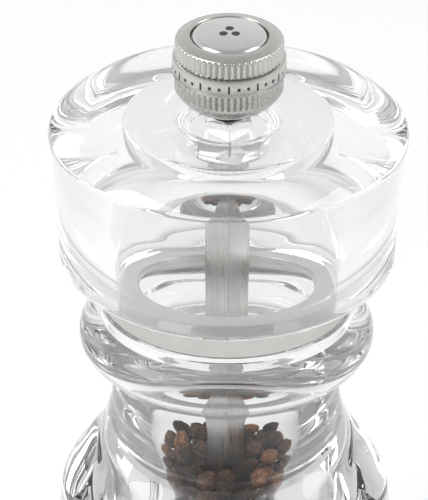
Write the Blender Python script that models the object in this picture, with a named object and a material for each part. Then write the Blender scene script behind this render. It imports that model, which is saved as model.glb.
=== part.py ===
"""Clear capstan pepper mill with a steel knob, a square spindle and a conical burr grinder.

Metres, +Z up. The origin is the middle of the base, on the surface that the mill stands on, and the mill's
axis is the Z axis. Most pieces are turned shapes, made from rings of points stacked along an outline.
"""

import collections
import math

import bmesh
import bpy
from mathutils import Matrix, Vector

MM = 0.001

# Driving dimensions
HEAD_TOP = 109.0 * MM  # height of the head's flat top
HEAD_RADIUS = 29.5 * MM  # widest radius of the head
HEAD_BOTTOM = 79.15 * MM
CAVITY_RADIUS = 17.9 * MM  # mouth of the hollow in the head
CEILING_THICKNESS = 2.2 * MM
BOSS_RADIUS = 6.75 * MM  # boss round the square hole
BOSS_BOTTOM = 101.2 * MM
BODY_TOP = 74.4 * MM
BODY_RADIUS = 28.0 * MM  # widest radius of the body
BORE_RADIUS = 15.8 * MM  # hopper for the peppercorns
SPINDLE_SIDE = 5.1 * MM  # side of the square bar
SPINDLE_TURN = math.radians(48)  # how far the bar's flats are turned from the X axis at rest
STUD_RADIUS = 2.5 * MM  # threaded end of the spindle
KNOB_RADIUS = 9.3 * MM
KNURL_TEETH = 54
HOUSING_RADIUS = 17.6 * MM
FLANGE_RADIUS = 21.6 * MM
SCREW_CIRCLE = 19.6 * MM  # radius of the circle of the three housing screws
SCREW_COUNT = 3
GAP = 0.3 * MM  # clearance between neighbouring pieces

# Number of sides of the turned pieces. The burrs have a tooth at every other one.
FINE = 40
COARSE = 20
BAR = 16
SMALL = 12

Ring = collections.namedtuple("Ring", "radius height groove turn square", defaults=(0.0, 0.0, False))


def clear_scene():
    for item in list(bpy.data.objects):
        bpy.data.objects.remove(item, do_unlink=True)


def material(name, colour, roughness, metallic=0.0, alpha=1.0):
    surface = bpy.data.materials.new(name)
    surface.use_nodes = True
    shader = surface.node_tree.nodes["Principled BSDF"]
    shader.inputs["Base Color"].default_value = (*colour, 1.0)
    shader.inputs["Roughness"].default_value = roughness
    shader.inputs["Metallic"].default_value = metallic
    shader.inputs["Alpha"].default_value = alpha
    surface.diffuse_color = (*colour, alpha)
    return surface


def arc(centre_radius, centre_height, size, start, end, steps):
    """Points of an arc in an outline. Angles are in degrees, 0 pointing outwards and 90 upwards."""
    points = []
    for step in range(steps + 1):
        angle = math.radians(start + (end - start) * step / steps)
        radius = centre_radius + size * math.cos(angle)
        points.append((radius, centre_height + size * math.sin(angle)))
    return points


def ring_points(ring, sides):
    """The points of one ring: round, square across the spindle's flats, or with a groove at every other point."""
    pitch = math.tau / sides
    start = SPINDLE_TURN % pitch if ring.square else ring.turn
    points = []
    for step in range(sides):
        angle = start + pitch * step
        reach = ring.radius - ring.groove * (step % 2)
        if ring.square:
            across = angle - SPINDLE_TURN
            reach = ring.radius / max(abs(math.cos(across)), abs(math.sin(across)))
        points.append((reach * math.cos(angle), reach * math.sin(angle), ring.height))
    return points


def link(name, mesh, surface):
    mesh.materials.append(surface)
    item = bpy.data.objects.new(name, mesh)
    bpy.context.scene.collection.objects.link(item)
    return item


def turned(name, outline, surface, sides=FINE):
    """A solid round the Z axis. An outline that starts and ends at radius 0 is closed there; any other is a loop."""
    build = bmesh.new()
    rings = []
    for entry in outline:
        ring = Ring(*entry)
        if ring.radius == 0:
            rings.append([build.verts.new((0, 0, ring.height))])
        else:
            rings.append([build.verts.new(point) for point in ring_points(ring, sides)])
    pairs = list(zip(rings, rings[1:]))
    if len(rings[0]) > 1:
        pairs.append((rings[-1], rings[0]))
    for upper, lower in pairs:
        for step in range(sides):
            after = (step + 1) % sides
            if len(upper) == 1:
                build.faces.new((upper[0], lower[step], lower[after]))
            elif len(lower) == 1:
                build.faces.new((upper[step], lower[0], upper[after]))
            else:
                build.faces.new((upper[step], lower[step], lower[after], upper[after]))
    bmesh.ops.recalc_face_normals(build, faces=build.faces)
    mesh = bpy.data.meshes.new(name)
    build.to_mesh(mesh)
    build.free()
    mesh.shade_smooth()
    mesh.set_sharp_from_angle(angle=math.radians(30))
    return link(name, mesh, surface)


def cutter(name, build):
    """A hidden solid that Booleans cut with."""
    bmesh.ops.recalc_face_normals(build, faces=build.faces)
    mesh = bpy.data.meshes.new(name)
    build.to_mesh(mesh)
    build.free()
    item = bpy.data.objects.new(name, mesh)
    bpy.context.scene.collection.objects.link(item)
    item.hide_render = True
    item.display_type = "WIRE"
    return item


def cut(item, tool):
    modifier = item.modifiers.new(tool.name, "BOOLEAN")
    modifier.operation = "DIFFERENCE"
    modifier.object = tool
    modifier.solver = "EXACT"


def screw_places():
    """The axes of the housing screws."""
    places = []
    for number in range(SCREW_COUNT):
        angle = math.tau * (number + 0.5) / SCREW_COUNT
        places.append(Vector((SCREW_CIRCLE * math.cos(angle), SCREW_CIRCLE * math.sin(angle), 0)))
    return places


def screw_hole_cutter(name, radius, low, high):
    build = bmesh.new()
    for place in screw_places():
        middle = Matrix.Translation(place + Vector((0, 0, (low + high) / 2)))
        bmesh.ops.create_cone(
            build,
            cap_ends=True,
            segments=SMALL,
            radius1=radius,
            radius2=radius,
            depth=high - low,
            matrix=middle,
        )
    return cutter(name, build)


def window_cutter(name, inner, outer, low, high, count, share):
    """Curved windows between two radii, evenly spaced, each taking this share of its part of the circle."""
    build = bmesh.new()
    steps = 8
    for number in range(count):
        middle = math.tau * number / count
        half = math.pi * share / count
        corners = []
        for radius, order in ((inner, range(steps + 1)), (outer, range(steps, -1, -1))):
            for step in order:
                angle = middle - half + 2 * half * step / steps
                corners.append((radius * math.cos(angle), radius * math.sin(angle)))
        lower = [build.verts.new((x, y, low)) for x, y in corners]
        upper = [build.verts.new((x, y, high)) for x, y in corners]
        build.faces.new(lower)
        build.faces.new(upper)
        for step, (first, above) in enumerate(zip(lower, upper)):
            after = (step + 1) % len(lower)
            build.faces.new((first, lower[after], upper[after], above))
    return cutter(name, build)


def make_head(surface):
    """Clear head: flat top, broad shoulder, tight rim, waisted side, round foot, and a hollow with a boss."""
    shoulder = 9.45 * MM
    shoulder_lean = 44
    rim = 1.35 * MM
    rim_radius = HEAD_RADIUS - rim
    rim_height = HEAD_TOP - 3.8 * MM
    reach = shoulder - rim
    shoulder_radius = rim_radius - reach * math.cos(math.radians(shoulder_lean))
    sole = 9.8 * MM
    sole_lean = -46
    sole_radius = 19.9 * MM
    sole_height = HEAD_BOTTOM + sole
    foot = 3.0 * MM
    foot_radius = sole_radius + (sole - foot) * math.cos(math.radians(sole_lean))
    foot_height = sole_height + (sole - foot) * math.sin(math.radians(sole_lean))
    ceiling = HEAD_TOP - CEILING_THICKNESS
    corner = 1.0 * MM
    fillet = 2.7 * MM
    hole = SPINDLE_SIDE / 2 + GAP
    outline = arc(shoulder_radius, HEAD_TOP - shoulder, shoulder, 90, shoulder_lean, 4)
    outline += arc(rim_radius, rim_height, rim, 20, 0, 1)
    outline += [(29.1 * MM, 101.5 * MM), (28.68 * MM, 98.6 * MM), (28.25 * MM, 94.6 * MM)]
    outline += [(28.05 * MM, 91.2 * MM), (27.85 * MM, 88.0 * MM)]
    outline += arc(foot_radius, foot_height, foot, -4, sole_lean, 3)
    outline += arc(sole_radius, sole_height, sole, -60, -90, 2)
    outline += [(CAVITY_RADIUS, HEAD_BOTTOM), (18.1 * MM, 88.0 * MM), (17.75 * MM, 99.0 * MM)]
    outline += arc(17.3 * MM - corner, ceiling - corner, corner, 0, 90, 2)
    outline += arc(BOSS_RADIUS + fillet, ceiling - fillet, fillet, 90, 180, 3)
    outline += [(BOSS_RADIUS, BOSS_BOTTOM)]
    outline += [(hole, BOSS_BOTTOM, 0, 0, True), (hole, HEAD_TOP, 0, 0, True)]
    turned("head", outline, surface)


def make_head_collar(surface):
    """Pressed steel collar: a thin ring in the mouth of the head's hollow, above a flange that is hollow below."""
    ring_outer = CAVITY_RADIUS - GAP
    ring_inner = 14.25 * MM
    ring_top = HEAD_BOTTOM + 2.4 * MM
    ring_bottom = HEAD_BOTTOM + 0.8 * MM
    ring_wall = 16.4 * MM
    flange = 20.5 * MM
    flange_wall = 19.2 * MM
    flange_top = HEAD_BOTTOM - GAP
    flange_inside = HEAD_BOTTOM - 1.7 * MM
    flange_bottom = BODY_TOP + GAP
    outline = [
        (ring_outer, ring_top),
        (ring_outer, flange_top),
        (flange, flange_top),
        (flange, flange_bottom),
        (flange_wall, flange_bottom),
        (flange_wall, flange_inside),
        (ring_wall, flange_inside),
        (ring_wall, ring_bottom),
        (ring_inner, ring_bottom),
        (ring_inner, ring_top),
    ]
    turned("head_collar", outline, surface)


def make_body(surface):
    """Clear body: collar, bead, neck and bell, with a bore for the peppercorns and a recess for the grinder."""
    bead = 4.0 * MM
    bead_centre = (20.3 * MM, 68.45 * MM)
    recess = HOUSING_RADIUS + GAP
    recess_top = 24.2 * MM
    flange_recess = FLANGE_RADIUS + GAP
    flange_recess_top = 3.6 * MM
    outline = [(BORE_RADIUS + 0.8 * MM, BODY_TOP), (20.2 * MM, BODY_TOP), (20.8 * MM, 73.8 * MM)]
    outline += [(20.9 * MM, 72.9 * MM)]
    outline += arc(*bead_centre, bead, 80, -75, 8)
    outline += [(19.3 * MM, 63.6 * MM), (18.4 * MM, 61.5 * MM), (18.75 * MM, 57.5 * MM)]
    outline += [(19.1 * MM, 55.0 * MM), (19.65 * MM, 52.8 * MM), (21.35 * MM, 48.9 * MM)]
    outline += [(24.85 * MM, 43.4 * MM), (26.1 * MM, 41.4 * MM), (26.95 * MM, 39.5 * MM)]
    outline += [(27.3 * MM, 37.4 * MM), (27.7 * MM, 29.0 * MM), (BODY_RADIUS, 21.0 * MM)]
    outline += [(27.8 * MM, 14.0 * MM), (27.2 * MM, 7.0 * MM), (26.6 * MM, 3.0 * MM)]
    outline += arc(25.0 * MM, 1.4 * MM, 1.4 * MM, 0, -90, 3)
    outline += [(flange_recess, 0), (flange_recess, flange_recess_top), (recess, flange_recess_top)]
    outline += [(recess, recess_top), (BORE_RADIUS, recess_top), (BORE_RADIUS, BODY_TOP - 0.8 * MM)]
    body = turned("body", outline, surface)
    cut(body, screw_hole_cutter("body_screw_holes", 1.5 * MM, 3.0 * MM, 10.0 * MM))


def make_peppercorns(surface):
    """The filling of the bore, as one solid with a gap round the spindle."""
    outer = BORE_RADIUS - GAP
    inner = 4.0 * MM
    low = 24.7 * MM
    high = 41.0 * MM
    crown = 1.0 * MM
    outline = [(inner, high), (10.0 * MM, high + crown), (outer, high), (outer, low), (inner, low)]
    turned("peppercorns", outline, surface, COARSE)


def make_spindle(surface):
    """Square bar with a threaded round stud on top and a screw hole in its lower end."""
    half = SPINDLE_SIDE / 2
    bar_top = HEAD_TOP - 1.0 * MM
    bar_bottom = 4.6 * MM
    stud_top = HEAD_TOP + 11.4 * MM
    hole_radius = 1.5 * MM
    hole_depth = 7.0 * MM
    outline = [
        (0, stud_top),
        (STUD_RADIUS - 0.5 * MM, stud_top),
        (STUD_RADIUS, stud_top - 0.5 * MM),
        (STUD_RADIUS, bar_top),
        (half, bar_top, 0, 0, True),
        (half, bar_bottom, 0, 0, True),
        (hole_radius, bar_bottom),
        (hole_radius, bar_bottom + hole_depth),
        (0, bar_bottom + hole_depth),
    ]
    turned("spindle", outline, surface, BAR)


def make_knob(steel, badge, brass, nylon):
    """Knob: knurled shell with a brass nut inside, a domed badge in its top and a washer under its neck."""
    knurl = 8.9 * MM
    groove = 0.35 * MM
    nut_radius = 4.4 * MM
    nut_bottom = HEAD_TOP + 3.7 * MM
    nut_top = HEAD_TOP + 11.8 * MM
    neck = 3.3 * MM
    neck_bottom = HEAD_TOP + 0.75 * MM
    badge_radius = 6.1 * MM
    badge_bottom = HEAD_TOP + 13.6 * MM
    passage = STUD_RADIUS + GAP
    tooth_sides = 2 * KNURL_TEETH

    def level(height):
        return HEAD_TOP + height * MM

    outline = [
        (0, badge_bottom - GAP),
        (badge_radius + GAP, badge_bottom - GAP),
        (badge_radius + GAP, level(14.6)),
        (7.3 * MM, level(14.6)),
        (8.4 * MM, level(14.3)),
        (knurl, level(13.9), groove),
        (knurl, level(11.1), groove),
        (KNOB_RADIUS, level(11.0)),
        (KNOB_RADIUS, level(7.8)),
        (knurl, level(7.7), groove),
        (knurl, level(4.7), groove),
        (8.2 * MM, level(4.0)),
        (7.0 * MM, level(2.7)),
        (5.0 * MM, level(1.6)),
        (neck, level(1.1)),
        (neck, neck_bottom),
        (passage, neck_bottom),
        (passage, nut_bottom),
        (nut_radius + GAP, nut_bottom),
        (nut_radius + GAP, nut_top + GAP),
        (0, nut_top + GAP),
    ]
    turned("knob_shell", outline, steel, tooth_sides)

    dome = [
        (0, level(15.2)),
        (2.2 * MM, level(15.15)),
        (4.3 * MM, level(14.97)),
        (5.7 * MM, level(14.75)),
        (badge_radius, level(14.5)),
        (badge_radius, badge_bottom),
        (0, badge_bottom),
    ]
    turned("knob_badge", dome, badge, COARSE)

    nut = [
        (nut_radius, nut_top),
        (nut_radius, nut_bottom + GAP),
        (passage, nut_bottom + GAP),
        (passage, nut_top),
    ]
    turned("knob_nut", nut, brass, COARSE)

    washer_top = neck_bottom - GAP / 2
    washer_bottom = HEAD_TOP + GAP / 2
    washer = [
        (neck, washer_top),
        (neck, washer_bottom),
        (passage, washer_bottom),
        (passage, washer_top),
    ]
    turned("thrust_washer", washer, nylon, COARSE)


def make_housing(surface):
    """Moulded cup in the body's recess, with a ledge under the stator and a flange with three screw holes."""
    top = 23.6 * MM
    flange_top = 3.3 * MM
    flange_bottom = 1.6 * MM
    wall = 14.6 * MM
    ledge_radius = 12.9 * MM
    ledge_top = 5.7 * MM
    outline = [
        (HOUSING_RADIUS, top),
        (HOUSING_RADIUS, flange_top),
        (FLANGE_RADIUS, flange_top),
        (FLANGE_RADIUS, flange_bottom),
        (ledge_radius, flange_bottom),
        (ledge_radius, ledge_top),
        (wall, ledge_top),
        (wall, top),
    ]
    housing = turned("mechanism_housing", outline, surface)
    cut(housing, screw_hole_cutter("flange_screw_holes", 1.5 * MM, 1.0 * MM, 4.0 * MM))


def make_spider(surface):
    """Bridge on top of the stator, with three arms and a hub for the spindle bush."""
    hub_radius = 6.8 * MM
    hub_hole = 5.0 * MM
    rim = 14.3 * MM
    low = 18.6 * MM
    high = 21.2 * MM
    hub_top = 22.0 * MM
    outline = [
        (hub_hole, hub_top),
        (hub_radius, hub_top),
        (hub_radius, high),
        (rim, high),
        (rim, low),
        (hub_hole, low),
    ]
    spider = turned("bearing_spider", outline, surface)
    windows = window_cutter(
        "spider_windows", hub_radius + 0.4 * MM, rim - 1.6 * MM, low - MM, high + MM, 3, 0.8
    )
    cut(spider, windows)


def make_bush(nylon, steel):
    """Bush that turns in the spider's hub with the spindle, and the clip that holds it there."""
    hole = SPINDLE_SIDE / 2 + GAP
    journal = 4.7 * MM
    flange = 6.6 * MM
    flange_bottom = 17.2 * MM
    flange_top = 18.3 * MM
    top = 23.4 * MM
    neck = 4.3 * MM
    clip_low = 22.3 * MM
    clip_high = 22.9 * MM
    outline = [
        (journal, top),
        (journal, clip_high + GAP / 2),
        (neck, clip_high + GAP / 2),
        (neck, clip_low - GAP / 2),
        (journal, clip_low - GAP / 2),
        (journal, flange_top),
        (flange, flange_top),
        (flange, flange_bottom),
        (hole, flange_bottom, 0, 0, True),
        (hole, top, 0, 0, True),
    ]
    turned("spindle_bush", outline, nylon)
    clip_inner = neck + 0.2 * MM
    clip_outer = 6.3 * MM
    clip = [(clip_outer, clip_high), (clip_outer, clip_low), (clip_inner, clip_low), (clip_inner, clip_high)]
    turned("bush_clip", clip, steel, COARSE)


def make_burrs(surface):
    """Stator and rotor: two cones, wider at the bottom, whose grooves lean opposite ways."""
    top = 18.3 * MM
    bottom = 6.0 * MM
    levels = 4
    lean = math.radians(18)
    groove = 0.9 * MM
    stator_outer = 14.3 * MM
    stator = [(stator_outer, top), (stator_outer, bottom)]
    for step in range(levels + 1):
        share = step / levels
        radius = (12.4 + (10.0 - 12.4) * share) * MM
        height = bottom + (top - bottom) * share
        stator.append((radius + groove, height, groove, lean * share))
    turned("stator", stator, surface)

    hole = SPINDLE_SIDE / 2 + GAP
    rotor_top = 13.4 * MM
    rotor_bottom = 6.4 * MM
    rotor = []
    for step in range(levels + 1):
        share = step / levels
        radius = (7.6 + (11.9 - 7.6) * share) * MM
        height = rotor_top + (rotor_bottom - rotor_top) * share
        rotor.append((radius, height, groove, -lean * share))
    rotor += [(hole, rotor_bottom, 0, 0, True), (hole, rotor_top, 0, 0, True)]
    turned("rotor", rotor, surface)


def make_rotor_fixings(steel):
    """Washer and pan-head screw that hold the rotor on the spindle's lower end."""
    washer_top = 6.1 * MM
    washer_bottom = 4.9 * MM
    hole = SPINDLE_SIDE / 2 + GAP
    washer = [
        (6.0 * MM, washer_top),
        (6.0 * MM, washer_bottom),
        (hole, washer_bottom, 0, 0, True),
        (hole, washer_top, 0, 0, True),
    ]
    turned("rotor_washer", washer, steel)
    head_top = 4.3 * MM
    shank = 1.2 * MM
    screw = [
        (0, 10.6 * MM),
        (shank, 10.6 * MM),
        (shank, head_top),
        (4.6 * MM, head_top),
        (4.6 * MM, 3.4 * MM),
        (3.6 * MM, 2.5 * MM),
        (1.6 * MM, 2.2 * MM),
        (1.2 * MM, 2.9 * MM),
        (0, 2.9 * MM),
    ]
    turned("rotor_screw", screw, steel, COARSE)


def make_spring(surface):
    """Compression spring between the bush's flange and the top of the rotor."""
    coil_radius = 5.4 * MM
    wire = 0.4 * MM
    low = 14.15 * MM
    high = 16.45 * MM
    turns = 2.5
    steps_per_turn = 16
    total = int(turns * steps_per_turn)
    curve = bpy.data.curves.new("adjusting_spring", "CURVE")
    curve.dimensions = "3D"
    curve.bevel_depth = wire
    curve.bevel_resolution = 1
    curve.use_fill_caps = True
    spline = curve.splines.new("POLY")
    spline.points.add(total)
    for step, point in enumerate(spline.points):
        angle = math.tau * step / steps_per_turn
        height = low + (high - low) * step / total
        point.co = (coil_radius * math.cos(angle), coil_radius * math.sin(angle), height, 1)
    curve.materials.append(surface)
    spring = bpy.data.objects.new("adjusting_spring", curve)
    bpy.context.scene.collection.objects.link(spring)


def make_housing_screws(surface):
    """Screws through the housing's flange into the body, all of one shape."""
    shank = 1.2 * MM
    outline = [
        (0, 9.4 * MM),
        (shank, 9.4 * MM),
        (shank, 1.3 * MM),
        (2.1 * MM, 1.3 * MM),
        (2.1 * MM, 0.8 * MM),
        (1.5 * MM, 0.4 * MM),
        (0, 0.4 * MM),
    ]
    for number, place in enumerate(screw_places(), 1):
        screw = turned(f"housing_screw_{number}", outline, surface, SMALL)
        screw.location = place


def parent_moving_pieces():
    """Empties on the mill's axis: the drive turns on the body, and the knob turns on the head."""
    groups = {
        "drive": ("spindle_bush", "bush_clip", "adjusting_spring"),
        "grinding": ("spindle", "rotor", "rotor_washer", "rotor_screw"),
        "top": ("head", "head_collar", "thrust_washer"),
        "adjuster": ("knob_shell", "knob_badge", "knob_nut"),
    }
    carriers = {"drive": None, "grinding": "drive", "top": "drive", "adjuster": "top"}
    empties = {}
    for group, names in groups.items():
        empty = bpy.data.objects.new(f"{group}_axis", None)
        bpy.context.scene.collection.objects.link(empty)
        empties[group] = empty
        if carriers[group]:
            empty.parent = empties[carriers[group]]
        for name in names:
            bpy.data.objects[name].parent = empty


def main():
    clear_scene()
    acrylic = material("clear_acrylic", (0.95, 0.96, 0.96), 0.02, alpha=0.25)
    steel = material("brushed_steel", (0.62, 0.61, 0.59), 0.3, metallic=1.0)
    polished = material("polished_steel", (0.70, 0.69, 0.68), 0.15, metallic=1.0)
    brass = material("brass", (0.72, 0.54, 0.25), 0.3, metallic=1.0)
    nylon = material("white_nylon", (0.85, 0.85, 0.82), 0.5)
    black_nylon = material("black_nylon", (0.03, 0.03, 0.03), 0.5)
    burr_steel = material("burr_steel", (0.35, 0.34, 0.33), 0.35, metallic=1.0)
    pepper = material("pepper", (0.09, 0.05, 0.03), 0.8)

    make_head(acrylic)
    make_head_collar(steel)
    make_body(acrylic)
    make_peppercorns(pepper)
    make_spindle(steel)
    make_knob(steel, polished, brass, black_nylon)
    make_housing(nylon)
    make_spider(nylon)
    make_bush(black_nylon, steel)
    make_burrs(burr_steel)
    make_rotor_fixings(steel)
    make_spring(steel)
    make_housing_screws(steel)
    parent_moving_pieces()


main()
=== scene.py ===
"""Looks of the clear capstan pepper mill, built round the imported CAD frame.

Every turned piece is made again with a fine surface on the sizes of its CAD solid. Lengths in the outlines
are in millimetres and heights are measured from the base.
"""

import math

import bmesh
import bpy
import numpy as np
from mathutils import Matrix, Quaternion, Vector


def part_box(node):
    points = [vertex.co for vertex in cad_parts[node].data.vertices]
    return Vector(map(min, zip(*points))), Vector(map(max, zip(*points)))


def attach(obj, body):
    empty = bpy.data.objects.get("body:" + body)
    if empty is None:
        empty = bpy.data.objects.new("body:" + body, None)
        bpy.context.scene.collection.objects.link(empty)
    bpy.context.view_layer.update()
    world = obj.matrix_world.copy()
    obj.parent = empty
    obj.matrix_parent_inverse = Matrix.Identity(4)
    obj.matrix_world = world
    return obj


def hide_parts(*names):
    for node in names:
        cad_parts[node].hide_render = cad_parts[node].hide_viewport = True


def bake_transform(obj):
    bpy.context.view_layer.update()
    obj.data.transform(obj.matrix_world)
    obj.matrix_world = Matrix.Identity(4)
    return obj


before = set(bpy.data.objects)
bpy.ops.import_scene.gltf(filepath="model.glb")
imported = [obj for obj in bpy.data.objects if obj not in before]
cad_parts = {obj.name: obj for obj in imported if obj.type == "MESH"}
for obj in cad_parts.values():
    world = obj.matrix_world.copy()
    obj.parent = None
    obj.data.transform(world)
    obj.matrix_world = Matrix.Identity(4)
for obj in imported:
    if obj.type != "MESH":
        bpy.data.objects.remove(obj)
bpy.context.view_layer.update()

MM = 0.001

# Sides of the turned pieces, by size.
FINE = 256
MEDIUM = 128
BAR_SIDES = 96
SMALL = 64
SCREW_SIDES = 48

# Edges that bend by more than this many degrees are shaded sharp.
SHARP_ANGLE = 35


def low(node):
    """Height of a CAD node's underside, in millimetres."""
    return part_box(node)[0].z / MM


def high(node):
    """Height of a CAD node's top, in millimetres."""
    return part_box(node)[1].z / MM


def widest(node):
    """Largest radius of a CAD node, in millimetres."""
    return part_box(node)[1].x / MM


HEAD_TOP = high("head")
HEAD_BOTTOM = low("head")
HEAD_RADIUS = widest("head")
BODY_TOP = high("body")
BODY_RADIUS = widest("body")
SPINDLE_SIDE = 5.1
SPINDLE_TURN = math.radians(48)
HOLE_SIDE = SPINDLE_SIDE + 0.6
HOLE_ROUND = 0.3
STUD_RADIUS = 2.5
STUD_HOLE = STUD_RADIUS + 0.3
THREAD_PITCH = 0.8
KNURL_TEETH = 54
SCREW_HOLE = 1.5
BURR_TEETH = 20
BURR_GROOVE = 0.9


# ---------------------------------------------------------------- outlines


def arc(radius, height, size, start, end, steps=12):
    """Points of an arc. Angles are in degrees, 0 pointing outwards and 90 upwards."""
    points = []
    for step in range(steps + 1):
        angle = math.radians(start + (end - start) * step / steps)
        points.append((radius + size * math.cos(angle), height + size * math.sin(angle)))
    return points


def curve(points, steps=6):
    """A smooth curve through the points (Catmull-Rom)."""
    ends = [points[0], *points, points[-1]]
    made = []
    for before, start, end, after in zip(ends, ends[1:], ends[2:], ends[3:]):
        for step in range(steps):
            t = step / steps
            made.append(tuple(
                0.5 * (2 * b + (c - a) * t + (2 * a - 5 * b + 4 * c - d) * t**2
                       + (3 * b - a - 3 * c + d) * t**3)
                for a, b, c, d in zip(before, start, end, after)
            ))
    made.append(points[-1])
    return made


def rounded(points, size, steps=5):
    """The closed outline with each of its corners rounded by about this size."""
    most = 0.45
    made = []
    count = len(points)
    for number, point in enumerate(points):
        corner = Vector(point)
        before = Vector(points[number - 1]) - corner
        after = Vector(points[(number + 1) % count]) - corner
        reach = min(size, before.length * most, after.length * most)
        start = corner + before.normalized() * reach
        end = corner + after.normalized() * reach
        for step in range(steps + 1):
            t = step / steps
            spot = start * (1 - t) ** 2 + corner * 2 * t * (1 - t) + end * t**2
            made.append((spot.x, spot.y))
    return made


def ring_outline(node, inner, size):
    """A plain ring on the size of its CAD node, with rounded edges."""
    outer = widest(node)
    bottom, top = low(node), high(node)
    return rounded([(outer, top), (outer, bottom), (inner, bottom), (inner, top)], size)


def chamfered_side(node, size=0.2):
    """Outer side of a CAD node, from its top to its underside, with both edges chamfered."""
    outer = widest(node)
    bottom, top = low(node), high(node)
    return [(outer - size, top), (outer, top - size), (outer, bottom + size), (outer - size, bottom)]


# ---------------------------------------------------------------- building


def link(name, mesh, materials):
    """An object of this mesh and these materials, in the scene."""
    for surface in materials:
        mesh.materials.append(surface)
    item = bpy.data.objects.new(name, mesh)
    bpy.context.scene.collection.objects.link(item)
    return item


def finished(name, build, materials, angle=SHARP_ANGLE):
    """An object made from a bmesh, smooth but for its sharp edges."""
    bmesh.ops.recalc_face_normals(build, faces=build.faces)
    mesh = bpy.data.meshes.new(name)
    build.to_mesh(mesh)
    build.free()
    mesh.shade_smooth()
    mesh.set_sharp_from_angle(angle=math.radians(angle))
    return link(name, mesh, materials)


def placed(item, node, body):
    """The piece stands for the CAD node and rides on its body."""
    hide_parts(node)
    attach(item, body)


def turned(name, outline, surface, sides=FINE, start=0.0, angle=SHARP_ANGLE):
    """A solid round the Z axis. Outline points are (radius, height), where the radius may be a function of
    the angle. An outline that starts and ends at radius 0 is closed there; any other is a loop."""
    build = bmesh.new()
    rings = []
    for radius, height in outline:
        if radius == 0:
            rings.append([build.verts.new((0, 0, height * MM))])
            continue
        ring = []
        for step in range(sides):
            turn = start + math.tau * step / sides
            reach = (radius(turn) if callable(radius) else radius) * MM
            ring.append(build.verts.new((reach * math.cos(turn), reach * math.sin(turn), height * MM)))
        rings.append(ring)
    pairs = list(zip(rings, rings[1:]))
    if len(rings[0]) > 1:
        pairs.append((rings[-1], rings[0]))
    for upper, lower in pairs:
        for step in range(sides):
            after = (step + 1) % sides
            if len(upper) == 1:
                build.faces.new((upper[0], lower[step], lower[after]))
            elif len(lower) == 1:
                build.faces.new((upper[step], lower[0], upper[after]))
            else:
                build.faces.new((upper[step], lower[step], lower[after], upper[after]))
    return finished(name, build, [surface], angle)


def square(side, round_off=0.0):
    """Radius of a square bar or hole at each angle, with its corners rounded off."""
    half = side / 2

    def radius(turn):
        across = (turn - SPINDLE_TURN + math.pi / 4) % (math.pi / 2) - math.pi / 4
        reach = half / math.cos(across)
        if not round_off:
            return reach
        centre = half - round_off
        corner = math.pi / 4 - abs(across)
        along = math.sqrt(2) * centre * math.cos(corner)
        off_line = math.sqrt(2) * centre * math.sin(corner)
        if off_line > round_off:
            return reach
        return min(reach, along + math.sqrt(round_off**2 - off_line**2))

    return radius


def knurled(radius, depth, teeth=KNURL_TEETH):
    """Radius of a knurled band: round-topped teeth with narrow grooves."""
    narrowing = 1.6

    def at(turn):
        return radius - depth * (0.5 - 0.5 * math.cos(teeth * turn)) ** narrowing

    return at


def threaded(radius, depth, height):
    """Radius of a screw thread at one height. Its crest stands a little above the radius."""
    steepness = 1.15

    def at(turn):
        phase = (height / THREAD_PITCH - turn / math.tau) % 1.0
        return radius - depth * (1 - abs(2 * phase - 1) * steepness)

    return at


def grooved(radius, depth, teeth, turn_by, leading=0.75):
    """Radius of a burr: saw teeth whose steep side leads."""
    def at(turn):
        phase = (teeth * (turn - turn_by) / math.tau) % 1.0
        if phase < leading:
            return radius + depth * phase / leading
        return radius + depth * (1 - phase) / (1 - leading)

    return at


def cut(item, tool):
    """Subtracts the tool from the item and removes the tool."""
    modifier = item.modifiers.new("cut", "BOOLEAN")
    modifier.operation = "DIFFERENCE"
    modifier.object = tool
    modifier.solver = "EXACT"
    graph = bpy.context.evaluated_depsgraph_get()
    mesh = bpy.data.meshes.new_from_object(item.evaluated_get(graph))
    item.modifiers.remove(modifier)
    old = item.data
    item.data = mesh
    mesh.name = item.name
    bpy.data.meshes.remove(old)
    bpy.data.objects.remove(tool, do_unlink=True)
    mesh.shade_smooth()
    mesh.set_sharp_from_angle(angle=math.radians(SHARP_ANGLE))


# ---------------------------------------------------------------- materials


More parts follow.
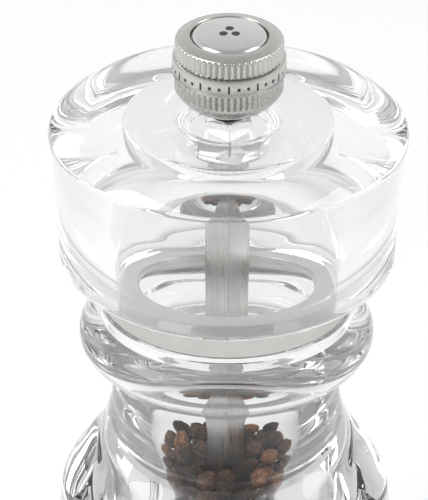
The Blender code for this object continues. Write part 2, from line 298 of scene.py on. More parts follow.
class Nodes:
    """Short calls for building a material's node tree."""

    def __init__(self, name, **sockets):
        self.material = bpy.data.materials.new(name)
        self.material.use_nodes = True
        self.tree = self.material.node_tree
        self.shader = self.tree.nodes["Principled BSDF"]
        for socket, value in sockets.items():
            self.shader.inputs[socket.replace("_", " ")].default_value = value

    def add(self, kind, **values):
        node = self.tree.nodes.new(kind)
        for key, value in values.items():
            if hasattr(node, key):
                setattr(node, key, value)
            else:
                node.inputs[key.replace("_", " ")].default_value = value
        return node

    def link(self, source, target):
        self.tree.links.new(source, target)

    def coordinates(self, scale):
        """Object coordinates, stretched by a scale on each axis."""
        place = self.add("ShaderNodeTexCoord")
        mapping = self.add("ShaderNodeMapping")
        mapping.inputs["Scale"].default_value = scale
        self.link(place.outputs["Object"], mapping.inputs["Vector"])
        return mapping.outputs["Vector"]

    def around(self, turns, radial, height):
        """Coordinates that run round the Z axis, out from it and up it, for marks left by a lathe."""
        place = self.add("ShaderNodeTexCoord")
        split = self.add("ShaderNodeSeparateXYZ")
        self.link(place.outputs["Object"], split.inputs[0])
        angle = self.add("ShaderNodeMath", operation="ARCTAN2")
        self.link(split.outputs["Y"], angle.inputs[0])
        self.link(split.outputs["X"], angle.inputs[1])
        flat = self.add("ShaderNodeCombineXYZ")
        self.link(split.outputs["X"], flat.inputs["X"])
        self.link(split.outputs["Y"], flat.inputs["Y"])
        length = self.add("ShaderNodeVectorMath", operation="LENGTH")
        self.link(flat.outputs[0], length.inputs[0])
        joined = self.add("ShaderNodeCombineXYZ")
        for source, target, factor in (
            (angle.outputs[0], "X", turns),
            (length.outputs["Value"], "Y", radial),
            (split.outputs["Z"], "Z", height),
        ):
            times = self.add("ShaderNodeMath", operation="MULTIPLY")
            times.inputs[1].default_value = factor
            self.link(source, times.inputs[0])
            self.link(times.outputs[0], joined.inputs[target])
        return joined.outputs[0]

    def noise(self, vector, scale, detail=4.0, roughness=0.6):
        texture = self.add("ShaderNodeTexNoise", Scale=scale, Detail=detail, Roughness=roughness)
        self.link(vector, texture.inputs["Vector"])
        return texture.outputs["Fac"]

    def ramp(self, source, stops):
        """Maps a value to colours, or to greys where the stops hold single numbers."""
        node = self.add("ShaderNodeValToRGB")
        elements = node.color_ramp.elements
        while len(elements) < len(stops):
            elements.new(0.5)
        for element, (position, colour) in zip(elements, stops):
            element.position = position
            shade = (colour,) * 3 if isinstance(colour, (int, float)) else colour
            element.color = (*shade, 1.0)
        self.link(source, node.inputs[0])
        return node.outputs[0]

    def bump(self, height, strength, distance):
        """Relief from a height value. The distance is in metres."""
        node = self.add("ShaderNodeBump", Strength=strength, Distance=distance)
        self.link(height, node.inputs["Height"])
        self.link(node.outputs[0], self.shader.inputs["Normal"])

    def roughness(self, source):
        self.link(source, self.shader.inputs["Roughness"])

    def colour(self, source):
        self.link(source, self.shader.inputs["Base Color"])


def acrylic_material():
    """Polished clear acrylic with the faintest waviness left by moulding."""
    make = Nodes("clear_acrylic", Base_Color=(0.94, 0.945, 0.948, 1), Roughness=0.0, IOR=1.49,
                 Transmission_Weight=1.0)
    waves = make.noise(make.coordinates((60, 60, 60)), 1.0, detail=1.0)
    make.bump(waves, 0.05, 0.0004)
    return make.material


def turned_steel_material(name, shade, roughness, marks):
    """Steel finished on a lathe: fine rings round the axis, with a little variation in the gloss."""
    make = Nodes(name, Metallic=1.0, Anisotropic=0.35)
    rings = make.noise(make.around(0.4, 14000, 14000), 1.0, detail=3.0)
    cloud = make.noise(make.coordinates((220, 220, 220)), 1.0, detail=3.0)
    make.colour(make.ramp(cloud, [(0.3, tuple(0.93 * c for c in shade)), (0.7, shade)]))
    make.roughness(make.ramp(rings, [(0.3, roughness * 0.8), (0.7, roughness * 1.25)]))
    make.bump(rings, marks, 0.00002)
    return make.material


def brushed_steel_material():
    """Steel bar brushed along its length."""
    make = Nodes("brushed_steel", Metallic=1.0)
    streaks = make.noise(make.coordinates((5000, 5000, 90)), 1.0, detail=5.0, roughness=0.7)
    broad = make.noise(make.coordinates((900, 900, 30)), 1.0, detail=2.0)
    make.colour(make.ramp(streaks, [(0.25, (0.50, 0.49, 0.475)), (0.75, (0.73, 0.72, 0.70))]))
    make.roughness(make.ramp(broad, [(0.3, 0.24), (0.7, 0.36)]))
    make.bump(streaks, 0.12, 0.00004)
    return make.material


def brass_material():
    """Turned brass with fine rings."""
    make = Nodes("brass", Metallic=1.0)
    rings = make.noise(make.around(0.5, 9000, 9000), 1.0)
    make.colour(make.ramp(rings, [(0.3, (0.62, 0.45, 0.20)), (0.7, (0.80, 0.62, 0.31))]))
    make.roughness(make.ramp(rings, [(0.3, 0.22), (0.7, 0.36)]))
    make.bump(rings, 0.2, 0.00003)
    return make.material


def nylon_material(name, dark, light, roughness):
    """Moulded nylon with a fine eggshell surface."""
    make = Nodes(name, IOR=1.5)
    grain = make.noise(make.coordinates((2600, 2600, 2600)), 1.0, detail=3.0)
    cloud = make.noise(make.coordinates((90, 90, 90)), 1.0, detail=2.0)
    make.colour(make.ramp(cloud, [(0.3, dark), (0.7, light)]))
    make.roughness(make.ramp(grain, [(0.3, roughness * 0.85), (0.7, roughness * 1.15)]))
    make.bump(grain, 0.15, 0.00004)
    return make.material


def burr_material():
    """Hardened steel of the burrs, darker in the cloudy patches left by heat treatment."""
    make = Nodes("burr_steel", Metallic=1.0)
    cloud = make.noise(make.coordinates((350, 350, 350)), 1.0, detail=5.0)
    fine = make.noise(make.coordinates((4000, 4000, 4000)), 1.0, detail=2.0)
    make.colour(make.ramp(cloud, [(0.3, (0.20, 0.195, 0.19)), (0.7, (0.42, 0.41, 0.40))]))
    make.roughness(make.ramp(fine, [(0.3, 0.28), (0.7, 0.46)]))
    make.bump(fine, 0.2, 0.00003)
    return make.material


def peppercorn_material(name, dark, light):
    """Dry wrinkled skin, paler on the ridges."""
    make = Nodes(name, Specular_IOR_Level=0.35)
    place = make.coordinates((1000, 1000, 1000))
    wrinkles = make.noise(place, 1.6, detail=6.0, roughness=0.65)
    make.colour(make.ramp(wrinkles, [(0.36, dark), (0.66, light)]))
    make.roughness(make.ramp(wrinkles, [(0.3, 0.78), (0.7, 0.5)]))
    make.bump(wrinkles, 0.8, 0.00045)
    return make.material


def enamel_material():
    """Dark filling of the engraved marks."""
    make = Nodes("dark_enamel", IOR=1.5)
    speckle = make.noise(make.coordinates((3000, 3000, 3000)), 1.0)
    make.colour(make.ramp(speckle, [(0.3, (0.018, 0.016, 0.015)), (0.7, (0.04, 0.035, 0.032))]))
    make.roughness(make.ramp(speckle, [(0.3, 0.35), (0.7, 0.5)]))
    return make.material


def floor_material():
    """Pale floor, a little greyer away from the object: painted light, brightest round the mill."""
    make = Nodes("pale_floor", Roughness=0.8, Specular_IOR_Level=0.1)
    distance = make.add("ShaderNodeVectorMath", operation="LENGTH")
    make.link(make.coordinates((1, 1, 1)), distance.inputs[0])
    # Painted light: brighter near the object, darker farther off.
    painted_light_near, painted_shade_far = (0.94, 0.94, 0.94), (0.76, 0.76, 0.76)
    make.colour(make.ramp(distance.outputs["Value"], [(0.26, painted_light_near), (0.7, painted_shade_far)]))
    return make.material


# ---------------------------------------------------------------- clear pieces


def head_outline():
    """Flat top, broad shoulder with a tight rim, waisted side, round foot, and the hollow with its boss."""
    rim = 1.35
    rim_radius = HEAD_RADIUS - rim
    rim_height = HEAD_TOP - 3.8
    rim_end = -8
    shoulder = 9.45
    shoulder_lean = 44.0
    shoulder_radius = rim_radius - (shoulder - rim) * math.cos(math.radians(shoulder_lean))
    sole = 9.8
    sole_lean = -46.0
    sole_radius = 19.9
    sole_height = HEAD_BOTTOM + sole
    foot = 3.0
    foot_start = -4
    foot_radius = sole_radius + (sole - foot) * math.cos(math.radians(sole_lean))
    foot_height = sole_height + (sole - foot) * math.sin(math.radians(sole_lean))
    ceiling = HEAD_TOP - 2.2
    ceiling_radius = 16.7
    ceiling_round = 0.6
    boss = 6.75
    boss_bottom = 101.2
    boss_round = 0.5
    fillet = 2.7
    hole = square(HOLE_SIDE, HOLE_ROUND)

    outline = arc(shoulder_radius, HEAD_TOP - shoulder, shoulder, 90, shoulder_lean, 20)
    outline += arc(rim_radius, rim_height, rim, shoulder_lean, rim_end, 16)
    foot_arc = arc(foot_radius, foot_height, foot, foot_start, sole_lean, 14)
    side = [outline[-1], (29.1, 101.5), (28.68, 98.6), (28.25, 94.6)]
    side += [(28.05, 91.2), (27.85, 88.0), foot_arc[0]]
    outline += curve(side, 8)[1:]
    outline += foot_arc[1:]
    outline += arc(sole_radius, sole_height, sole, sole_lean, -90, 16)[1:]
    wall = [(17.9, HEAD_BOTTOM), (18.0, 82.5), (18.1, 88.0), (18.0, 93.0), (17.75, 99.0), (17.4, 105.0)]
    wall += [(17.3, ceiling - ceiling_round)]
    outline += curve(wall, 8)
    outline += arc(ceiling_radius, ceiling - ceiling_round, ceiling_round, 10, 90, 8)[1:]
    outline += arc(boss + fillet, ceiling - fillet, fillet, 90, 180, 12)
    outline += arc(boss - boss_round, boss_bottom + boss_round, boss_round, 0, -90, 4)
    outline += [(hole, boss_bottom), (hole, HEAD_TOP)]
    return outline


def make_head(acrylic):
    """Clear hollow head that is turned by hand. The spindle passes through its square boss."""
    head = turned("clear_head", head_outline(), acrylic, start=SPINDLE_TURN)
    placed(head, "head", "top")


def body_outline():
    """Collar, bead, neck, bell and foot outside; hopper bore and the grinder's recess inside."""
    bore = widest("peppercorns") + 0.3
    recess = 17.9
    recess_top = 24.2
    flange_recess = 21.9
    flange_recess_top = 3.6
    foot = 25.0
    foot_round = 1.5
    mouth = 0.9
    bead_radius = 20.3
    bead_height = 68.45
    bead_round = 4.0
    bead = arc(bead_radius, bead_height, bead_round, 80, -75, 32)
    collar = [(20.2, BODY_TOP), (20.7, 73.95), (20.85, 73.4), (20.92, 72.8), bead[0]]
    neck = [bead[-1], (19.5, 63.75), (18.6, 62.4), (18.45, 60.4), (18.75, 57.5), (19.1, 55.0), (19.65, 52.8)]
    bell = [(20.45, 50.7), (21.35, 48.9), (22.9, 46.5), (24.85, 43.4), (26.1, 41.4), (26.95, 39.5)]
    skirt = [(27.3, 37.4), (27.5, 34.0), (27.72, 29.0), (BODY_RADIUS, 21.0)]
    skirt += [(27.8, 14.0), (27.25, 7.3), (26.6, 3.2)]
    outline = [(bore + mouth, BODY_TOP)] + curve(collar, 6) + bead[1:] + curve(neck + bell + skirt, 8)[1:]
    outline += arc(foot, foot_round, foot_round, 0, -90, 8)
    outline += rounded_step((flange_recess, 0), 0.25)
    outline += [(flange_recess, flange_recess_top), (recess, flange_recess_top)]
    outline += [(recess, recess_top), (bore, recess_top), (bore, BODY_TOP - mouth)]
    outline += [(bore + 0.25, BODY_TOP - 0.3)]
    return outline


def rounded_step(corner, size):
    """A small chamfer where a flat underside turns up into a recess."""
    radius, height = corner
    return [(radius + size, height), (radius, height + size)]


def screw_places():
    """Axes of the housing screws, from their CAD nodes."""
    places = []
    for number in (1, 2, 3):
        lowest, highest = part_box(f"housing_screw_{number}")
        places.append(((lowest + highest) / 2).xy)
    return places


def screw_hole_tool(bottom, top):
    """Cylinders on the axes of the housing screws, which cut their holes."""
    build = bmesh.new()
    for place in screw_places():
        middle = Matrix.Translation((place.x, place.y, (bottom + top) / 2 * MM))
        bmesh.ops.create_cone(
            build, cap_ends=True, segments=24, radius1=SCREW_HOLE * MM, radius2=SCREW_HOLE * MM,
            depth=(top - bottom) * MM, matrix=middle,
        )
    return finished("screw_hole_tool", build, [])


def make_body(acrylic):
    """Clear body that holds the peppercorns, with blind holes for the housing screws."""
    body = turned("clear_body", body_outline(), acrylic)
    cut(body, screw_hole_tool(bottom=3.0, top=10.0))
    placed(body, "body", "base")


# ---------------------------------------------------------------- knob


def make_knob_shell(steel):
    """Knurled shell of the knob. From the top: a flat rim round the badge, a sloping bevel, the upper knurl,
    a smooth band, the lower knurl and a rounded underside, which is hollow for the nut."""
    badge_seat = 13.3
    badge_radius = 6.38
    knurl = 8.9
    groove = 0.42
    tooth = knurled(knurl, groove)
    tooth_end = knurled(knurl - 0.05, groove * 0.6)
    row = 0.35
    rows = 8
    channel = 8.5
    band = widest("knob_shell")
    band_edge = 0.25
    band_round = 0.07
    neck = 3.3
    neck_bottom = 0.8
    nut_radius = 4.7
    nut_bottom = 3.7
    nut_top = 12.1

    def up(height):
        return HEAD_TOP + height

    bevel = [(6.5, up(14.58)), (7.2, up(14.52)), (7.9, up(14.33)), (8.45, up(14.08)), (8.62, up(13.95))]
    under = [(8.45, up(4.5)), (8.1, up(3.9)), (7.0, up(2.75)), (5.0, up(1.65)), (neck + 0.1, up(1.15))]
    outline = [(0, up(badge_seat)), (badge_radius, up(badge_seat)), (badge_radius, up(14.42))]
    outline += curve(bevel, 6)
    outline += [(knurled(8.75, groove * 0.5), up(13.9))]
    outline += [(tooth, up(13.7 - row * step)) for step in range(rows)]
    outline += [(tooth_end, up(11.15)), (channel, up(11.05)), (channel, up(10.95))]
    outline += [(band - band_edge, up(10.93)), (band - band_round, up(10.86)), (band, up(10.68))]
    outline += [(band, up(8.12)), (band - band_round, up(7.94)), (band - band_edge, up(7.87))]
    outline += [(channel, up(7.85)), (channel, up(7.75)), (tooth_end, up(7.65))]
    outline += [(tooth, up(7.4 - row * step)) for step in range(rows)]
    outline += [(knurled(8.72, groove * 0.6), up(4.72))]
    outline += curve(under, 6)
    outline += [(neck, up(1.0)), (neck, up(neck_bottom)), (STUD_HOLE, up(neck_bottom))]
    outline += [(STUD_HOLE, up(nut_bottom)), (nut_radius, up(nut_bottom))]
    outline += [(nut_radius, up(nut_top)), (0, up(nut_top))]
    shell = turned("steel_knob", outline, steel, sides=KNURL_TEETH * 8, angle=40)
    placed(shell, "knob_shell", "knob")


def make_knob_badge(steel, enamel):
    """Domed badge with three inlaid dots."""
    edge = widest("knob_badge")
    top = high("knob_badge")
    bottom = low("knob_badge")
    chamfer = 0.15
    dome = 40.0
    dome_edge = 5.2
    outline = arc(0, top - dome, dome, 90, 90 - math.degrees(math.asin(dome_edge / dome)), 24)
    outline[0] = (0, top)
    drop = outline[-1][1]
    outline += [(5.55, drop - 0.06), (5.85, drop - 0.18), (edge, drop - 0.5), (edge, bottom + chamfer)]
    outline += [(edge - chamfer, bottom), (0, bottom)]
    badge = turned("knob_dome", outline, steel, sides=MEDIUM)
    placed(badge, "knob_badge", "knob")

    dots = 3
    dot_circle = 1.15
    dot_bottom = 0.74
    dot_top = 0.70
    dot_depth = 0.13
    sunk = 0.05
    build = bmesh.new()
    for number in range(dots):
        turn = math.radians(90 + 120 * number)
        place = Vector((dot_circle * math.cos(turn), dot_circle * math.sin(turn)))
        height = top - dome + math.sqrt(dome**2 - place.length_squared)
        disc = Matrix.Translation((place.x * MM, place.y * MM, (height - sunk) * MM))
        bmesh.ops.create_cone(
            build, cap_ends=True, segments=32, radius1=dot_bottom * MM, radius2=dot_top * MM,
            depth=dot_depth * MM, matrix=disc,
        )
    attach(finished("badge_dots", build, [enamel]), "knob")


def make_band_marks(enamel):
    """Dark inlays round the knob's smooth band: a tall narrow bar, then two short wide ones, and so on."""
    radius = widest("knob_shell")
    middle = (HEAD_TOP + 9.4) * MM
    count = 36
    tall_bar = (1.3, 0.34)
    short_bar = (0.55, 0.5)
    inner = (radius - 0.15) * MM
    outer = (radius + 0.015) * MM
    faces = ((0, 1, 2, 3), (4, 5, 6, 7), (0, 1, 5, 4), (1, 2, 6, 5), (2, 3, 7, 6), (3, 0, 4, 7))
    build = bmesh.new()
    for number in range(count):
        turn = math.tau * number / count
        tall, wide = tall_bar if number % 3 == 0 else short_bar
        half = wide / 2 / radius
        corners = []
        for reach in (inner, outer):
            for side, rise in ((-1, -1), (1, -1), (1, 1), (-1, 1)):
                angle = turn + side * half
                height = middle + rise * tall / 2 * MM
                corners.append(build.verts.new((reach * math.cos(angle), reach * math.sin(angle), height)))
        for face in faces:
            build.faces.new([corners[index] for index in face])
    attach(finished("band_marks", build, [enamel]), "knob")


def make_knob_nut(brass):
    """Round nut with a finely knurled edge."""
    outer = widest("knob_nut")
    teeth = 36
    groove = 0.2
    outline = []
    for radius, height in ring_outline("knob_nut", STUD_HOLE, 0.25):
        on_edge = radius > outer - 0.05
        outline.append((knurled(radius, groove, teeth) if on_edge else radius, height))
    nut = turned("brass_nut", outline, brass, sides=teeth * 6)
    placed(nut, "knob_nut", "knob")


def make_thrust_washer(nylon):
    """Thin washer round the stud, under the knob's neck."""
    washer = turned("neck_washer", ring_outline("thrust_washer", STUD_HOLE, 0.15), nylon, sides=SMALL)
    placed(washer, "thrust_washer", "top")


# ---------------------------------------------------------------- spindle and collar


def make_collar(steel, painted_light_white):
    """Pressed steel collar: a ring in the head's mouth over a hollow flange. Painted light: its top and
    outer faces take a near-white matte material in place of lit steel.
    """
    ring = 17.6
    ring_top = HEAD_BOTTOM + 2.4
    lip = 14.25
    lip_bottom = HEAD_BOTTOM + 0.8
    ring_inside = 16.4
    flange = 20.5
    flange_top = HEAD_BOTTOM - 0.3
    flange_bottom = BODY_TOP + 0.3
    hollow = 19.2
    hollow_top = HEAD_BOTTOM - 1.7
    corners = [(ring, ring_top), (ring, flange_top), (flange, flange_top), (flange, flange_bottom)]
    corners += [(hollow, flange_bottom), (hollow, hollow_top), (ring_inside, hollow_top)]
    corners += [(ring_inside, lip_bottom), (lip, lip_bottom), (lip, ring_top)]
    collar = turned("steel_collar", rounded(corners, 0.2), steel)
    # Painted light: faces that look up or out above the flange take the near-white matte material.
    collar.data.materials.append(painted_light_white)
    for face in collar.data.polygons:
        faces_out = face.normal.xy.dot(face.center.xy) > -0.1 * face.center.xy.length
        if faces_out and face.center.z > (flange_top - 0.05) * MM:
            face.material_index = 1
    placed(collar, "head_collar", "top")


def make_spindle(steel):
    """Square bar with softened edges, a threaded stud on top and a tapped hole in its lower end."""
    bottom, top = low("spindle"), high("spindle")
    edge = 0.35
    bar = square(SPINDLE_SIDE, edge)
    bar_end = square(SPINDLE_SIDE - 0.5, edge)
    bar_top = HEAD_TOP - 1.0
    chamfer = 0.25
    rows = 24
    core = 2.1
    thread_depth = 0.36
    thread_top = top - 0.5
    rows_per_turn = 8
    thread_rows = int((thread_top - bar_top - 0.6) / THREAD_PITCH * rows_per_turn)
    tapped = 1.5
    tapped_top = bottom + 7.0

    outline = [(0, top), (1.9, top), (core, top - 0.15)]
    for step in range(thread_rows):
        height = thread_top - step * THREAD_PITCH / rows_per_turn
        outline.append((threaded(STUD_RADIUS, thread_depth, height), height))
    outline += [(core, bar_top + 0.45), (core, bar_top), (bar_end, bar_top), (bar, bar_top - chamfer)]
    for step in range(1, rows):
        outline.append((bar, bar_top - chamfer - (bar_top - bottom - 2 * chamfer) * step / rows))
    outline += [(bar, bottom + chamfer), (bar_end, bottom)]
    outline += [(tapped, bottom), (tapped, tapped_top), (0, tapped_top)]
    spindle = turned("square_spindle", outline, steel, sides=BAR_SIDES, start=SPINDLE_TURN)
    placed(spindle, "spindle", "grinding_shaft")


# ---------------------------------------------------------------- grinder


def make_housing(nylon):
    """Flanged sleeve that holds the stator."""
    bottom, top = low("mechanism_housing"), high("mechanism_housing")
    outer = 17.6
    flange = widest("mechanism_housing")
    flange_top = 3.3
    mouth = 12.9
    seat = 14.6
    seat_bottom = 5.7
    corners = [(outer, top), (outer, flange_top), (flange, flange_top), (flange, bottom), (mouth, bottom)]
    corners += [(mouth, seat_bottom), (seat, seat_bottom), (seat, top)]
    housing = turned("grinder_housing", rounded(corners, 0.35, 4), nylon)
    cut(housing, screw_hole_tool(bottom=1.0, top=4.0))
    placed(housing, "mechanism_housing", "base")


def join_rings(build, lower, upper):
    """Faces between two closed rings with the same number of points."""
    for step, (first, above) in enumerate(zip(lower, upper)):
        after = (step + 1) % len(lower)
        build.faces.new((first, lower[after], upper[after], above))


def window_tool(inner, outer, bottom, top, count, share):
    """Curved windows, evenly spaced, which together take up this share of the ring."""
    build = bmesh.new()
    steps = 20
    for number in range(count):
        middle = math.tau * number / count
        half = math.pi * share / count
        corners = []
        for radius, order in ((inner, range(steps + 1)), (outer, range(steps, -1, -1))):
            for step in order:
                angle = middle - half + 2 * half * step / steps
                corners.append((radius * MM * math.cos(angle), radius * MM * math.sin(angle)))
        lower = [build.verts.new((x, y, bottom * MM)) for x, y in corners]
        upper = [build.verts.new((x, y, top * MM)) for x, y in corners]
        build.faces.new(lower)
        build.faces.new(upper)
        join_rings(build, lower, upper)
    return finished("window_tool", build, [])


def make_spider(nylon):
    """Bridge that carries the bush: a hub and a rim joined by three spokes."""
    bottom, top = low("bearing_spider"), high("bearing_spider")
    rim = widest("bearing_spider")
    hub = 6.8
    hole = 5.0
    deck = 21.2
    corners = [(hole, top), (hub, top), (hub, deck), (rim, deck), (rim, bottom), (hole, bottom)]
    spider = turned("spindle_bridge", rounded(corners, 0.25, 3), nylon, sides=MEDIUM)
    cut(spider, window_tool(hub + 0.4, rim - 1.6, bottom - 1, top + 1, count=3, share=0.8))
    placed(spider, "bearing_spider", "base")


def make_bush(nylon, steel):
    """Flanged bush that turns in the bridge with the spindle, and the clip in its groove."""
    bottom, top = low("spindle_bush"), high("spindle_bush")
    clip_low, clip_high = low("bush_clip"), high("bush_clip")
    hole = square(HOLE_SIDE, HOLE_ROUND)
    journal = 4.7
    groove = 4.3
    gap = 0.15
    flange = widest("spindle_bush")
    flange_top = 18.3
    edge = 0.2
    outline = [(journal - edge, top), (journal, top - edge), (journal, clip_high + gap)]
    outline += [(groove, clip_high + gap), (groove, clip_low - gap), (journal, clip_low - gap)]
    outline += [(journal, flange_top), (flange - edge, flange_top), (flange, 18.1)]
    outline += [(flange, bottom + edge), (flange - edge, bottom), (hole, bottom), (hole, top)]
    bush = turned("nylon_bush", outline, nylon, sides=BAR_SIDES, start=SPINDLE_TURN)
    placed(bush, "spindle_bush", "drive")

    clip_hole = 4.5
    clip = turned("retaining_clip", ring_outline("bush_clip", clip_hole, 0.15), steel, sides=SMALL)
    placed(clip, "bush_clip", "drive")


def toothed_face(first, last, start, end, lean, sunk=0.0):
    """A burr's cone of leaning teeth, from its first radius and height to its last."""
    rows = 16
    points = []
    for step in range(rows + 1):
        share = step / rows
        radius = first + (last - first) * share
        teeth = grooved(radius - sunk, BURR_GROOVE, BURR_TEETH, lean * share)
        points.append((teeth, start + (end - start) * share))
    return points


def make_burrs(surface):
    """Stator and rotor with the same number of saw teeth, leaning opposite ways."""
    lean = math.radians(18)
    sides = BURR_TEETH * 12
    stator_mouth = 12.4
    stator_throat = 10.0
    rotor_top = 7.6
    rotor_foot = 11.9

    bottom, top = low("stator"), high("stator")
    outline = chamfered_side("stator")
    outline += toothed_face(stator_mouth, stator_throat, bottom, top, lean)
    placed(turned("outer_burr", outline, surface, sides=sides), "stator", "base")

    bottom, top = low("rotor"), high("rotor")
    hole = square(HOLE_SIDE, HOLE_ROUND)
    outline = toothed_face(rotor_top, rotor_foot, top, bottom, -lean, sunk=BURR_GROOVE)
    outline += [(hole, bottom), (hole, top)]
    placed(turned("inner_burr", outline, surface, sides=sides), "rotor", "grinding_shaft")


def cross_tool(place, bottom, depth, reach, width):
    """A cross-shaped recess, cut up into a screw head from below."""
    half = width / 2
    arm = [(reach, -half), (reach, half), (half, half)]
    clear = 0.4
    build = bmesh.new()
    layers = []
    for height in (bottom - clear, bottom + depth):
        layer = []
        for quarter in range(4):
            turn = Matrix.Rotation(math.pi / 2 * quarter, 2)
            for corner in arm:
                x, y = Vector(place) + turn @ Vector(corner) * MM
                layer.append(build.verts.new((x, y, height * MM)))
        build.faces.new(layer)
        layers.append(layer)
    join_rings(build, *layers)
    return finished("cross_tool", build, [])


def make_rotor_washer(steel):
    """Washer under the rotor, with a square hole."""
    bottom, top = low("rotor_washer"), high("rotor_washer")
    hole = square(HOLE_SIDE, HOLE_ROUND)
    outline = chamfered_side("rotor_washer")
    outline += [(hole, bottom), (hole, top)]
    washer = turned("burr_washer", outline, steel, sides=BAR_SIDES, start=SPINDLE_TURN)
    placed(washer, "rotor_washer", "grinding_shaft")


def make_rotor_screw(steel):
    """Domed screw with a cross recess, driven up into the spindle's lower end."""
    bottom, top = low("rotor_screw"), high("rotor_screw")
    shank = 1.2
    head = widest("rotor_screw")
    head_top = 4.3
    outline = [(0, top), (1.0, top), (shank, top - 0.3), (shank, head_top), (head - 0.1, head_top)]
    outline += curve([(head, 4.2), (head - 0.05, 3.4), (3.6, 2.6), (1.8, bottom), (0, bottom)], 6)
    screw = turned("burr_screw", outline, steel, sides=SMALL)
    cut(screw, cross_tool((0, 0), bottom, depth=1.1, reach=2.2, width=0.8))
    placed(screw, "rotor_screw", "grinding_shaft")


def make_housing_screws(steel):
    """Small domed screws with cross recesses, driven up through the housing's flange."""
    shank = 1.2
    head = 2.1
    head_top = 1.3
    for number, place in enumerate(screw_places(), 1):
        node = f"housing_screw_{number}"
        bottom, top = low(node), high(node)
        outline = [(0, top), (0.9, top - 0.1), (shank, top - 0.7), (shank, head_top), (2.0, head_top)]
        outline += [(head, 1.2)]
        outline += curve([(head, 0.85), (1.8, 0.55), (1.2, bottom + 0.02), (0, bottom)], 6)
        screw = turned(f"flange_screw_{number}", outline, steel, sides=SCREW_SIDES)
        screw.data.transform(Matrix.Translation((place.x, place.y, 0)))
        cut(screw, cross_tool((place.x, place.y), bottom, depth=0.6, reach=1.1, width=0.4))
        placed(screw, node, "base")


def make_spring(surface):
    """Round-wire compression spring whose end turns lie flat."""
    wire = 0.4
    coil = widest("adjusting_spring") - wire
    bottom, top = low("adjusting_spring") + wire, high("adjusting_spring") - wire
    turns = 2.5
    steps = 160
    around = 14
    build = bmesh.new()
    rings = []
    for step in range(steps + 1):
        share = step / steps
        eased = share * share * (3 - 2 * share)
        angle = math.tau * turns * share
        out = Vector((math.cos(angle), math.sin(angle), 0))
        centre = out * coil + Vector((0, 0, bottom + (top - bottom) * eased))
        ring = []
        for spoke in range(around):
            turn = math.tau * spoke / around
            point = centre + (out * math.cos(turn) + Vector((0, 0, 1)) * math.sin(turn)) * wire
            ring.append(build.verts.new(point * MM))
        rings.append(ring)
    for first, second in zip(rings, rings[1:]):
        for spoke in range(around):
            after = (spoke + 1) % around
            build.faces.new((first[spoke], second[spoke], second[after], first[after]))
    build.faces.new(rings[0])
    build.faces.new(rings[-1])
    spring = finished("spring_coil", build, [surface])
    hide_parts("adjusting_spring")
    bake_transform(spring)


# ---------------------------------------------------------------- peppercorns


def settle_corns(count, random):
    """Centres and radii of corns that lie packed in the bore, round the spindle. At each step they fall a
    little, push apart where they overlap and are kept between the spindle and the wall."""
    outer = widest("peppercorns")
    inner = 3.75
    bottom = low("peppercorns")
    top = high("peppercorns")
    smallest, largest = 1.75, 2.3
    clear = 2
    spread = 1.3
    fall = 0.05
    steps = 900
    radii = random.uniform(smallest, largest, count)
    angle = random.uniform(0, math.tau, count)
    reach = random.uniform(inner + clear, outer - clear, count)
    centres = np.stack([reach * np.cos(angle), reach * np.sin(angle)], axis=1)
    heights = bottom + clear + (top - bottom) * spread * np.arange(count) / count
    points = np.column_stack([centres, heights])
    touching = radii[:, None] + radii[None, :]
    for step in range(steps):
        points[:, 2] -= fall * (1 - step / steps)
        for _ in range(2):
            apart = points[:, None, :] - points[None, :, :]
            distance = np.sqrt((apart**2).sum(axis=2)) + np.eye(count)
            overlap = np.clip(touching - distance, 0, None)
            np.fill_diagonal(overlap, 0)
            points += 0.5 * (apart / distance[:, :, None] * overlap[:, :, None]).sum(axis=1)
            flat = np.sqrt(points[:, 0] ** 2 + points[:, 1] ** 2)
            held = np.clip(flat, inner + radii, outer - radii)
            points[:, :2] *= (held / flat)[:, None]
            points[:, 2] = np.clip(points[:, 2], bottom + radii, None)
    return points, radii


def corn_template(subdivisions):
    """Points and faces of a ball of radius 1."""
    ball = bmesh.new()
    bmesh.ops.create_icosphere(ball, subdivisions=subdivisions, radius=1)
    points = np.array([vertex.co for vertex in ball.verts])
    faces = [[vertex.index for vertex in face.verts] for face in ball.faces]
    ball.free()
    return points, faces


def wrinkled(unit, random):
    """Distance of a corn's skin from its centre, as a share of its radius, at each point of a unit ball."""
    ridges = np.zeros(len(unit))
    for frequency, depth in ((3.0, 0.035), (6.5, 0.03), (11.0, 0.022)):
        for _ in range(3):
            axis = random.standard_normal(3)
            axis /= np.linalg.norm(axis)
            ridges += depth * (1 - 2 * np.abs(np.sin(frequency * unit @ axis + random.uniform(0, math.tau))))
    return 0.94 * (1 + np.clip(ridges, -0.12, 0.06))


def make_peppercorns(materials):
    """Wrinkled corns of three shades, each a little out of round. Those low in the pile have fewer faces."""
    random = np.random.default_rng(7)
    count = 178
    out_of_round = 0.05
    fine_above = 34.0
    shares = (0.38, 0.36, 0.26)
    top = high("peppercorns")
    points, radii = settle_corns(count, random)
    fine_corn = corn_template(4)
    coarse_corn = corn_template(3)
    vertices = []
    indices = []
    shades = []
    base = 0
    for point, size in zip(points, radii):
        if point[2] + size > top:
            continue
        unit, faces = fine_corn if point[2] > fine_above else coarse_corn
        shape = unit * (1 + out_of_round * random.standard_normal(3))
        radial = wrinkled(unit, random)
        vertices.append((shape * radial[:, None] * size + point) * MM)
        indices += [[base + index for index in face] for face in faces]
        base += len(unit)
        shades += [int(random.choice(len(shares), p=shares))] * len(faces)
    mesh = bpy.data.meshes.new("peppercorn_pile")
    mesh.from_pydata(np.concatenate(vertices), [], indices)
    mesh.shade_smooth()
    pile = link("peppercorn_pile", mesh, materials)
    mesh.polygons.foreach_set("material_index", shades)
    placed(pile, "peppercorns", "base")


# ---------------------------------------------------------------- surroundings


def make_floor():
    """Floor a hair under the mill's foot."""
    side = 12
    gap = 0.0002
    bpy.ops.mesh.primitive_plane_add(size=side, location=(0, 0, -gap))
    floor = bpy.context.object
    floor.name = "pale_floor"
    floor.data.materials.append(floor_material())


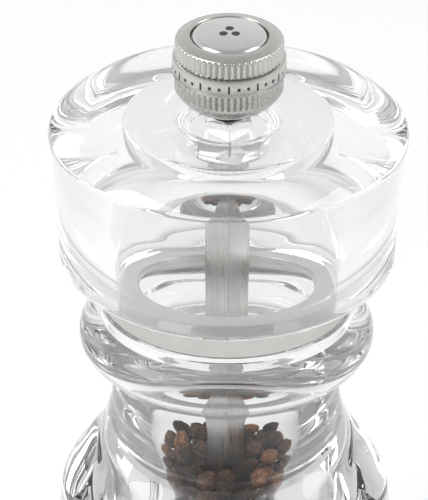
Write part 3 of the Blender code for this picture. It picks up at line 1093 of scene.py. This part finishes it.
def area_light(name, location, target, size, power):
    """A soft rectangular light that the camera doesn't see. Sizes are in metres and power in watts."""
    data = bpy.data.lights.new(name, "AREA")
    data.shape = "RECTANGLE"
    data.size, data.size_y = size
    data.energy = power
    light = bpy.data.objects.new(name, data)
    light.visible_camera = False
    bpy.context.scene.collection.objects.link(light)
    light.location = location
    light.rotation_mode = "QUATERNION"
    light.rotation_quaternion = (Vector(target) - Vector(location)).to_track_quat("-Z", "Y")


def make_world():
    """A pale room: brightest at the horizon, greyer overhead and on the camera's side."""
    strength = 0.93
    by_height = ((0.0, 1.0), (0.25, 0.97), (0.5, 0.9), (0.8, 0.68), (1.0, 0.6))
    by_depth = {"From Min": -1.0, "From Max": 0.2, "To Min": 0.52, "To Max": 1.0}
    world = bpy.data.worlds.new("pale_room")
    bpy.context.scene.world = world
    world.use_nodes = True
    tree = world.node_tree
    background = tree.nodes["Background"]
    place = tree.nodes.new("ShaderNodeTexCoord")
    split = tree.nodes.new("ShaderNodeSeparateXYZ")
    tree.links.new(place.outputs["Generated"], split.inputs[0])
    rise = tree.nodes.new("ShaderNodeValToRGB")
    while len(rise.color_ramp.elements) < len(by_height):
        rise.color_ramp.elements.new(0.5)
    for element, (position, grey) in zip(rise.color_ramp.elements, by_height):
        element.position = position
        element.color = (grey, grey, grey, 1)
    tree.links.new(split.outputs["Z"], rise.inputs[0])
    depth = tree.nodes.new("ShaderNodeMapRange")
    for socket, value in by_depth.items():
        depth.inputs[socket].default_value = value
    tree.links.new(split.outputs["Y"], depth.inputs["Value"])
    mixed = tree.nodes.new("ShaderNodeVectorMath")
    mixed.operation = "SCALE"
    tree.links.new(rise.outputs[0], mixed.inputs[0])
    tree.links.new(depth.outputs[0], mixed.inputs["Scale"])
    tree.links.new(mixed.outputs[0], background.inputs["Color"])
    background.inputs["Strength"].default_value = strength


def make_camera():
    """Long lens from 30 degrees above the horizon, aimed a little left of the mill's axis."""
    elevation = math.radians(30.0)
    distance = 1.5
    roll = math.radians(0.55)
    below_top = 25.34
    aside = Vector((-2.19 * MM, -0.33 * MM, 0))
    data = bpy.data.cameras.new("camera")
    camera = bpy.data.objects.new("camera", data)
    bpy.context.scene.collection.objects.link(camera)
    bpy.context.scene.camera = camera
    data.sensor_width = 36
    data.lens = 656.6
    data.clip_start = 0.05
    data.clip_end = 50
    back = Vector((0, -math.cos(elevation), math.sin(elevation)))
    turn = (-back).to_track_quat("-Z", "Y") @ Quaternion((0, 0, 1), roll)
    aim = Vector((0, 0, (HEAD_TOP - below_top) * MM))
    aim += turn @ aside
    camera.rotation_mode = "QUATERNION"
    camera.rotation_quaternion = turn
    camera.location = aim + back * distance


def main():
    """Materials, surroundings and pieces, then the render settings."""
    acrylic = acrylic_material()
    satin = turned_steel_material("satin_steel", (0.60, 0.59, 0.57), 0.24, 0.2)
    polished = turned_steel_material("polished_steel", (0.72, 0.71, 0.70), 0.16, 0.08)
    brushed = brushed_steel_material()
    # Painted light: near-white matte for the collar's top and outer faces.
    painted_light_white = nylon_material("painted_light_ring", (0.92, 0.92, 0.91), (0.95, 0.95, 0.94), 0.4)
    brass = brass_material()
    white = nylon_material("white_nylon", (0.80, 0.80, 0.78), (0.86, 0.86, 0.84), 0.45)
    black = nylon_material("black_nylon", (0.02, 0.02, 0.02), (0.035, 0.035, 0.035), 0.4)
    burr = burr_material()
    enamel = enamel_material()
    plated = turned_steel_material("screw_steel", (0.72, 0.71, 0.69), 0.18, 0.1)
    corns = [
        peppercorn_material("corn_dark", (0.012, 0.006, 0.004), (0.085, 0.040, 0.022)),
        peppercorn_material("corn_brown", (0.040, 0.017, 0.008), (0.26, 0.115, 0.052)),
        peppercorn_material("corn_red", (0.10, 0.033, 0.012), (0.62, 0.24, 0.09)),
    ]

    make_camera()
    make_world()
    make_floor()
    lit_point = (0, 0, 0.08)
    area_light("left_softbox", (-0.9, -0.3, 0.9), lit_point, size=(0.7, 1.0), power=9)
    area_light("right_softbox", (1.0, -0.1, 0.7), lit_point, size=(0.6, 1.0), power=5)

    make_head(acrylic)
    make_body(acrylic)
    make_knob_shell(satin)
    make_knob_badge(polished, enamel)
    make_band_marks(enamel)
    make_knob_nut(brass)
    make_thrust_washer(black)
    make_collar(satin, painted_light_white)
    make_spindle(brushed)
    make_housing(white)
    make_spider(white)
    make_bush(black, brushed)
    make_burrs(burr)
    make_rotor_washer(brushed)
    make_rotor_screw(plated)
    make_housing_screws(plated)
    make_spring(plated)
    make_peppercorns(corns)

    scene = bpy.context.scene
    scene.view_settings.view_transform = "Standard"
    scene.cycles.max_bounces = 24
    scene.cycles.transmission_bounces = 24
    scene.cycles.glossy_bounces = 12


main()
